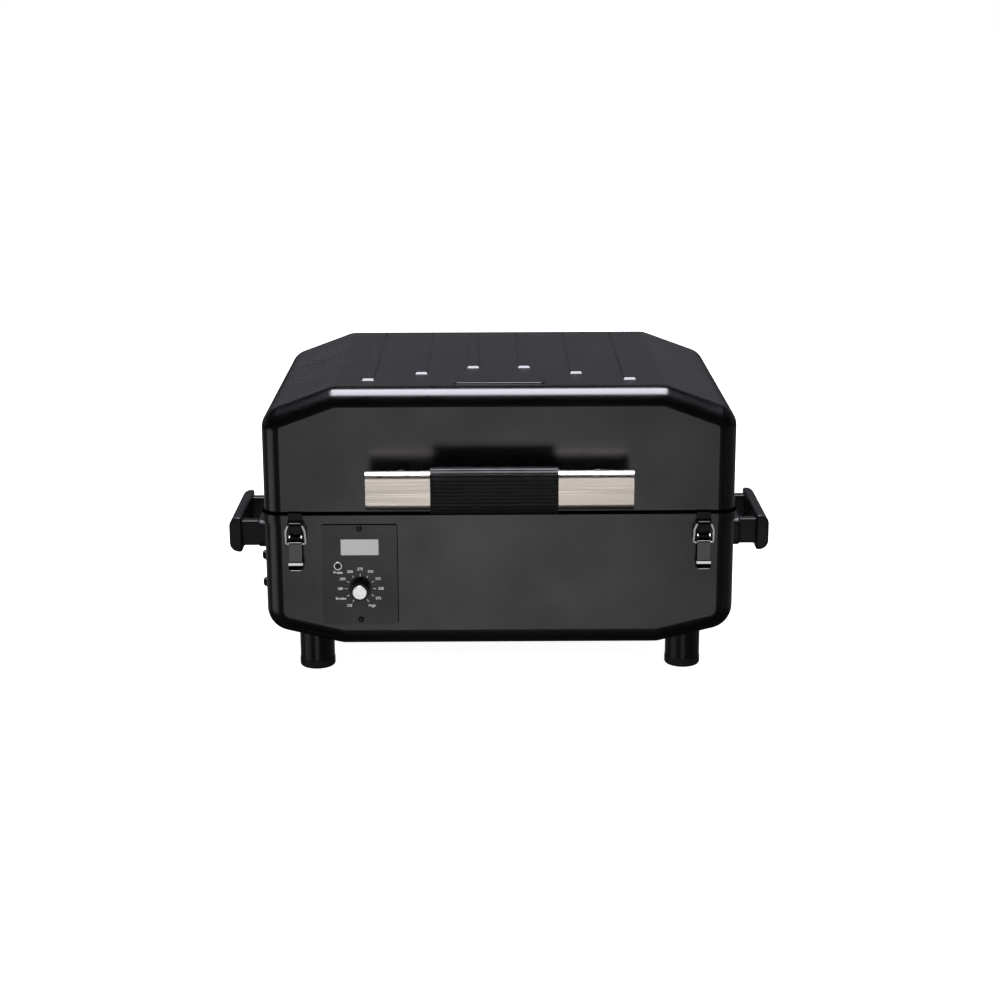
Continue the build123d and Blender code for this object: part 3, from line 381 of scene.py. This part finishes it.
def heat_tinted(name):
    """Stainless steel that has been hot: straw and blue tints over fine brushing."""
    s = Shader(name).set(Metallic=1.0)
    heat = s.noise(22.0, 3.0)
    s.colour(s.tint(heat, (0.36, 0.33, 0.31), (0.27, 0.25, 0.3)))
    streaks = s.noise(1.0, 3.0, 0.6, s.stretched((1200.0, 8.0, 1200.0)))
    s.roughness(s.span(streaks, 0.3, 0.48))
    s.bump((s.noise(900.0, 2.0), 0.000006))
    return s.material


def cast_iron(name):
    """Seasoned cast iron: pebbled, with oily patches."""
    s = Shader(name)
    pebbles = s.noise(1100.0, 3.0, 0.65)
    oil = s.noise(35.0, 3.0)
    s.colour(s.tint(oil, (0.014, 0.013, 0.012), (0.026, 0.024, 0.022)))
    s.roughness(s.span(oil, 0.34, 0.55))
    s.bump((pebbles, 0.00004))
    return s.material


def circuit_board(name):
    """Green board with faint tracks."""
    s = Shader(name).set(Coat_Weight=0.3)
    tracks = s.tree.nodes.new("ShaderNodeTexBrick")
    tracks.inputs["Scale"].default_value = 160.0
    tracks.inputs["Mortar Size"].default_value = 0.03
    s.link(s.place, tracks.inputs["Vector"])
    s.colour(s.tint(tracks.outputs["Fac"], (0.02, 0.13, 0.05), (0.05, 0.24, 0.1), 0.0, 1.0))
    s.roughness(s.span(s.noise(300.0), 0.35, 0.5))
    s.bump((tracks.outputs["Fac"], 0.00001))
    return s.material


def rubber(name, gloss=(0.45, 0.6)):
    """Black rubber with a dusty, very fine grain."""
    s = Shader(name).set(Specular_IOR_Level=0.3)
    base = (0.0028, 0.0028, 0.003)
    fine = s.noise(2600.0, 2.0)
    dust = s.noise(60.0, 3.0)
    s.colour(s.tint(dust, base, tuple(c * 1.6 for c in base)))
    s.roughness(s.span(dust, *gloss))
    s.bump((fine, 0.000008))
    return s.material


def print_ink(name):
    """White panel print, a little uneven."""
    s = Shader(name)
    patch = s.noise(3000.0, 2.0)
    s.colour(s.tint(patch, (0.5, 0.5, 0.5), (0.72, 0.72, 0.71)))
    s.roughness(s.span(patch, 0.45, 0.6))
    s.bump((patch, SHALLOW))
    return s.material


SMALL_COAT = {"grain": 2500.0, "depth": 0.000002}     # the smooth coat on small fittings
LOOKS = {
    "black_coat": powder_coat("black_coat", hem=(SEAM, SEAM + HEM_HEIGHT)),
    "leg_coat": powder_coat("leg_coat", gloss=(0.28, 0.36), sheen=0.35),
    "foot_rubber": rubber("foot_rubber"),
    "panel_coat": panel_plate("panel_coat"),
    "display_glass": display_pane("display_glass"),
    "jack_metal": jack_face("jack_metal"),
    "switch_plastic": moulded_plastic("switch_plastic"),
    "knob_plastic": moulded_plastic("knob_plastic", gloss=(0.25, 0.35)),
    "cap_metal": turned_cap("cap_metal"),
    "black_screw": powder_coat("black_screw", gloss=(0.14, 0.22), sheen=0.12, **SMALL_COAT),
    "circuit_board": circuit_board("circuit_board"),
    "galvanised": galvanised("galvanised"),
    "brushed_handle": handle_metal("brushed_handle", HANDLE_METAL),
    "grip_rubber": rubber("grip_rubber", gloss=(0.36, 0.5)),
    "post_coat": powder_coat("post_coat"),
    "zinc_fastener": plated_metal("zinc_fastener", (0.6, 0.6, 0.6)),
    "cap_nut_zinc": powder_coat("cap_nut_zinc", gloss=(0.2, 0.3), **SMALL_COAT),
    "latch_steel": latch_wire("latch_steel"),
    "lever_steel": latch_lever("lever_steel"),
    "latch_coat": powder_coat("latch_coat", gloss=(0.16, 0.24), sheen=0.12, **SMALL_COAT),
    "hinge_coat": powder_coat("hinge_coat"),
    "handle_plastic": moulded_plastic("handle_plastic"),
    "auger_steel": brushed_metal("auger_steel", STEEL, along=(900.0, 20.0, 20.0)),
    "motor_plastic": powder_coat("motor_plastic", base=(0.05, 0.05, 0.052)),
    "fire_steel": heat_tinted("fire_steel"),
    "probe_steel": brushed_metal("probe_steel", STEEL),
    "tray_coat": powder_coat("tray_coat", gloss=(0.14, 0.24), grain=500.0),
    "grate_iron": cast_iron("grate_iron"),
    "inlet_plastic": moulded_plastic("inlet_plastic"),
    "rocker_plastic": moulded_plastic("rocker_plastic", gloss=(0.18, 0.26), depth=0.000004),
}


def dress_nodes():
    """Give every CAD node the material of its slot; the latch levers have one of their own."""
    for part in frame["record"]["subparts"]:
        look = "lever_steel" if part["node"].startswith("latch_lever") else part["material_slot"]
        for slot in NODES[part["node"]].material_slots:
            slot.material = LOOKS[look]


# ---- the panel's printing ------------------------------------------------------------------------
INK = print_ink("panel_ink")
INK_DEPTH = 0.05 * MM
DIAL_MARKS = ("Off", "Smoke", "180", "200", "250", "275", "300", "325", "350", "375", "High")
FIRST_MARK, MARK_STEP = -150.0, 30.0         # degrees clockwise from the top
TICKS = (14.2 * MM, 17.4 * MM)               # radii where the strokes begin and end
TICK_HALF = 0.22 * MM                        # half a stroke's width
LABEL_RADIUS = 22.6 * MM
LABEL_SIZE = 4.3 * MM
WORD_SPREAD = 1.12                           # words stand further out sideways than numbers
JACK_LABEL_DROP = 7.6 * MM


def finish_print(piece):
    piece.data.materials.append(INK)
    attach(piece, "tub")


def print_word(name, word, x, z, size):
    """Raised ink lettering that faces the front."""
    curve = bpy.data.curves.new(name, "FONT")
    curve.body = word
    curve.size = size
    curve.align_x = "CENTER"
    curve.align_y = "CENTER"
    curve.extrude = INK_DEPTH / 2
    curve.resolution_u = 6
    text = bpy.data.objects.new(name, curve)
    bpy.context.scene.collection.objects.link(text)
    bpy.context.view_layer.update()
    mesh = bpy.data.meshes.new_from_object(text)
    bpy.data.objects.remove(text)
    upright = Matrix.Rotation(math.pi / 2, 4, "X")
    mesh.transform(Matrix.Translation((x, PANEL_FACE - INK_DEPTH / 2, z)) @ upright)
    piece = bpy.data.objects.new(name, mesh)
    bpy.context.scene.collection.objects.link(piece)
    finish_print(piece)


def print_ticks():
    """One mesh of thin raised strokes that point at the dial."""
    verts, faces = [], []
    for i in range(len(DIAL_MARKS)):
        angle = math.radians(FIRST_MARK + MARK_STEP * i)
        out = Vector((math.sin(angle), 0.0, math.cos(angle)))
        side = Vector((out.z, 0.0, -out.x)) * TICK_HALF
        base = len(verts)
        for y in (PANEL_FACE, PANEL_FACE - INK_DEPTH):
            centre = Vector((DIAL.x, y, DIAL.z))
            verts += [centre + out * TICKS[0] + side, centre + out * TICKS[0] - side,
                      centre + out * TICKS[1] - side, centre + out * TICKS[1] + side]
        faces += [[base + k for k in f] for f in (
            (4, 5, 6, 7), (0, 3, 2, 1), (0, 1, 5, 4), (1, 2, 6, 5), (2, 3, 7, 6), (3, 0, 4, 7))]
    mesh = bpy.data.meshes.new("dial_ticks")
    mesh.from_pydata(verts, [], faces)
    mesh.validate()
    piece = bpy.data.objects.new("dial_ticks", mesh)
    bpy.context.scene.collection.objects.link(piece)
    finish_print(piece)


def print_panel():
    for i, word in enumerate(DIAL_MARKS):
        angle = math.radians(FIRST_MARK + MARK_STEP * i)
        spread = 1.0 if word.isdigit() else WORD_SPREAD
        x = DIAL.x + LABEL_RADIUS * spread * math.sin(angle)
        z = DIAL.z + LABEL_RADIUS * math.cos(angle)
        print_word(f"dial_mark_{word}", word, x, z, LABEL_SIZE)
    print_word("jack_label", "Probe", JACK.x, JACK.z - JACK_LABEL_DROP, LABEL_SIZE)
    print_ticks()


# ---- studio --------------------------------------------------------------------------------------
FLOOR_HALF = 30.0                            # metres
PAPER = 0.9
PAPER_GLOW = 0.95
WHITE = (1.0, 1.0, 1.0, 1.0)


def add_floor():
    """White paper, lit so evenly that the feet leave hardly a shadow.

    Reflections see the studio instead of it.
    """
    mesh = bpy.data.meshes.new("floor")
    h = FLOOR_HALF
    mesh.from_pydata([(-h, -h, 0), (h, -h, 0), (h, h, 0), (-h, h, 0)], [], [(0, 1, 2, 3)])
    floor = bpy.data.objects.new("floor", mesh)
    bpy.context.scene.collection.objects.link(floor)
    floor.visible_glossy = False
    paper = bpy.data.materials.new("floor_paper")
    paper.use_nodes = True
    shader = paper.node_tree.nodes["Principled BSDF"]
    shader.inputs["Base Color"].default_value = (PAPER, PAPER, PAPER, 1.0)
    shader.inputs["Roughness"].default_value = 0.9
    shader.inputs["Specular IOR Level"].default_value = 0.0
    shader.inputs["Emission Color"].default_value = WHITE
    shader.inputs["Emission Strength"].default_value = PAPER_GLOW
    mesh.materials.append(paper)


# How bright the studio is in reflections. Round the object, below eye level: degrees from straight
# ahead of it, to the left (below zero) or right. A wide light ahead, black flags by the front
# corners, a side light on the left.
RING = ((-180, 1.0), (-170, 0.7), (-155, 0.15), (-120, 0.15), (-95, 0.05), (-88, 0.3),
        (-78, 1.3), (-54, 1.3), (-44, 0.7), (-36, 0.05), (-13, 0.1), (-9, 0.8), (-6, 1.5),
        (-3, 2.3), (0, 2.5), (3, 2.3), (6, 1.5), (9, 0.8), (13, 0.1), (36, 0.05), (50, 0.12),
        (85, 0.12), (120, 0.15), (155, 0.15), (170, 0.7), (180, 1.0))
# Which heights the ring fills: degrees above the horizon.
RING_HEIGHT = ((-90, 0.03), (-50, 0.03), (-30, 0.04), (-23, 0.2), (-19, 1.0), (-17, 0.85),
               (-15, 0.75), (-13.5, 0.9), (-12, 1.0), (-10, 0.8), (-8, 0.0), (90, 0.0))
# Behind the object: a dim wall, by degrees above the horizon, and by degrees from straight ahead.
REAR = ((-90, 0.0), (-2, 0.02), (4, 0.15), (13, 0.14), (25, 0.12), (40, 0.03), (55, 0.0), (90, 0.0))
REAR_SPREAD = ((0, 0.0), (75, 0.0), (110, 1.0), (180, 1.0))
# Straight above: a softbox, by degrees from the zenith to the front (below zero) or back, and to
# either side.
SOFTBOX = ((-180, 0.0), (-27, 0.0), (-19, 17.0), (20, 17.0), (27, 0.0), (180, 0.0))
SOFTBOX_SPREAD = ((0, 1.0), (14, 1.0), (24, 0.0), (180, 0.0))
BRIGHTEST = 17.0                             # no curve goes higher
COOL = (0.97, 0.96, 1.07)                    # what stands above the horizon is slightly blue
FILL = (0.35, 0.35, 0.35, 1.0)               # soft light from everywhere, for all other rays


class Studio:
    """Nodes that turn a direction into a brightness."""

    def __init__(self, tree):
        self.tree = tree

    def math(self, operation, first, second=0.0):
        """Arithmetic on outputs or plain numbers."""
        node = self.tree.nodes.new("ShaderNodeMath")
        node.operation = operation
        for socket, value in zip(node.inputs, (first, second)):
            if isinstance(value, (int, float)):
                socket.default_value = value
            else:
                self.tree.links.new(value, socket)
        return node.outputs[0]

    def curve(self, degrees, points):
        """Brightness along an angle, from (degrees, brightness) pairs."""
        first, last = points[0][0], points[-1][0]
        place = self.math("DIVIDE", self.math("SUBTRACT", degrees, first), last - first)
        node = self.tree.nodes.new("ShaderNodeValToRGB")
        ramp = node.color_ramp
        ramp.interpolation = "EASE"
        for i, (angle, level) in enumerate(points):
            if i == 0:
                element = ramp.elements[0]
            elif i == len(points) - 1:
                element = ramp.elements[-1]
            else:
                element = ramp.elements.new((angle - first) / (last - first))
            shade = level / BRIGHTEST
            element.color = (shade, shade, shade, 1.0)
        self.tree.links.new(place, node.inputs["Fac"])
        return self.math("MULTIPLY", node.outputs["Color"], BRIGHTEST)

    def mix(self, share, first, second):
        """Colours or brightnesses mixed by a share."""
        node = self.tree.nodes.new("ShaderNodeMix")
        node.data_type = "RGBA"
        self.tree.links.new(share, node.inputs["Factor"])
        for index, value in ((COLOUR_A, first), (COLOUR_B, second)):
            if isinstance(value, tuple):
                node.inputs[index].default_value = value
            else:
                self.tree.links.new(value, node.inputs[index])
        return node.outputs[COLOUR_OUT]


def add_world():
    """White behind the object, and a studio of softboxes and flags that only reflections see."""
    world = bpy.data.worlds.new("studio")
    bpy.context.scene.world = world
    world.use_nodes = True
    world.cycles.sampling_method = "NONE"    # every reflection is followed to the studio itself
    tree = world.node_tree
    studio = Studio(tree)
    split = tree.nodes.new("ShaderNodeSeparateXYZ")
    tree.links.new(tree.nodes.new("ShaderNodeTexCoord").outputs["Generated"], split.inputs[0])
    x, y, z = split.outputs
    height = studio.math("DEGREES", studio.math("ARCSINE", z))
    turn = studio.math("DEGREES", studio.math("ARCTAN2", x, studio.math("MULTIPLY", y, -1.0)))
    ring = studio.math("MULTIPLY", studio.curve(turn, RING), studio.curve(height, RING_HEIGHT))
    behind = studio.curve(studio.math("ABSOLUTE", turn), REAR_SPREAD)
    rear = studio.math("MULTIPLY", behind, studio.curve(height, REAR))
    along = studio.math("DEGREES", studio.math("ARCTAN2", y, z))
    across = studio.math("DEGREES", studio.math("ARCTAN2", studio.math("ABSOLUTE", x), z))
    box = studio.math("MULTIPLY", studio.curve(along, SOFTBOX),
                      studio.curve(across, SOFTBOX_SPREAD))
    level = studio.math("ADD", studio.math("ADD", ring, rear), box)
    path = tree.nodes.new("ShaderNodeLightPath")
    cool = tree.nodes.new("ShaderNodeVectorMath")
    cool.operation = "SCALE"
    cool.inputs[0].default_value = COOL
    tree.links.new(level, cool.inputs["Scale"])
    level = studio.mix(studio.math("GREATER_THAN", z, 0.0), level, cool.outputs[0])
    seen = studio.mix(path.outputs["Is Glossy Ray"], FILL, level)
    seen = studio.mix(path.outputs["Is Camera Ray"], seen, WHITE)
    tree.links.new(seen, tree.nodes["Background"].inputs["Color"])


SUN_STRENGTH = 2.2
SUN_WIDTH = 90.0                             # degrees: broad, so that its shadows are soft
SUN_PLACE = Vector((0.0, -1.5, 4.0))


def add_overhead_light():
    """A broad light from above and in front, which reflections do not see."""
    data = bpy.data.lights.new("overhead", "SUN")
    data.energy = SUN_STRENGTH
    data.angle = math.radians(SUN_WIDTH)
    light = bpy.data.objects.new("overhead", data)
    bpy.context.scene.collection.objects.link(light)
    light.location = SUN_PLACE
    light.rotation_euler = (-SUN_PLACE).to_track_quat("-Z", "Y").to_euler()
    light.visible_glossy = False


# ---- camera --------------------------------------------------------------------------------------
CAMERA_PLACE = Vector((-7.65, -2236.18, 745.02)) * MM
CAMERA_YAW, CAMERA_PITCH, CAMERA_ROLL = -0.003963, 0.255956, -0.003766     # radians
CAMERA_SENSOR, CAMERA_LENS = 36.0, 70.22     # millimetres


def add_camera():
    """In front of the grill and above it, looking slightly down."""
    right = Vector((math.cos(CAMERA_YAW), math.sin(CAMERA_YAW), 0.0))
    ahead = Vector((-math.sin(CAMERA_YAW), math.cos(CAMERA_YAW), 0.0))
    above = Vector((0.0, 0.0, 1.0))
    forward = ahead * math.cos(CAMERA_PITCH) - above * math.sin(CAMERA_PITCH)
    up = ahead * math.sin(CAMERA_PITCH) + above * math.cos(CAMERA_PITCH)
    cos, sin = math.cos(CAMERA_ROLL), math.sin(CAMERA_ROLL)
    right, up = right * cos + up * sin, up * cos - right * sin
    data = bpy.data.cameras.new("camera")
    data.sensor_width = CAMERA_SENSOR
    data.lens = CAMERA_LENS
    camera = bpy.data.objects.new("camera", data)
    bpy.context.scene.collection.objects.link(camera)
    turn = Matrix((right, up, -forward)).transposed()
    camera.matrix_world = Matrix.Translation(CAMERA_PLACE) @ turn.to_4x4()
    bpy.context.scene.camera = camera


def main():
    bpy.context.scene.view_settings.view_transform = "Standard"
    add_camera()
    dress_nodes()
    print_panel()
    add_floor()
    add_world()
    add_overhead_light()


main()
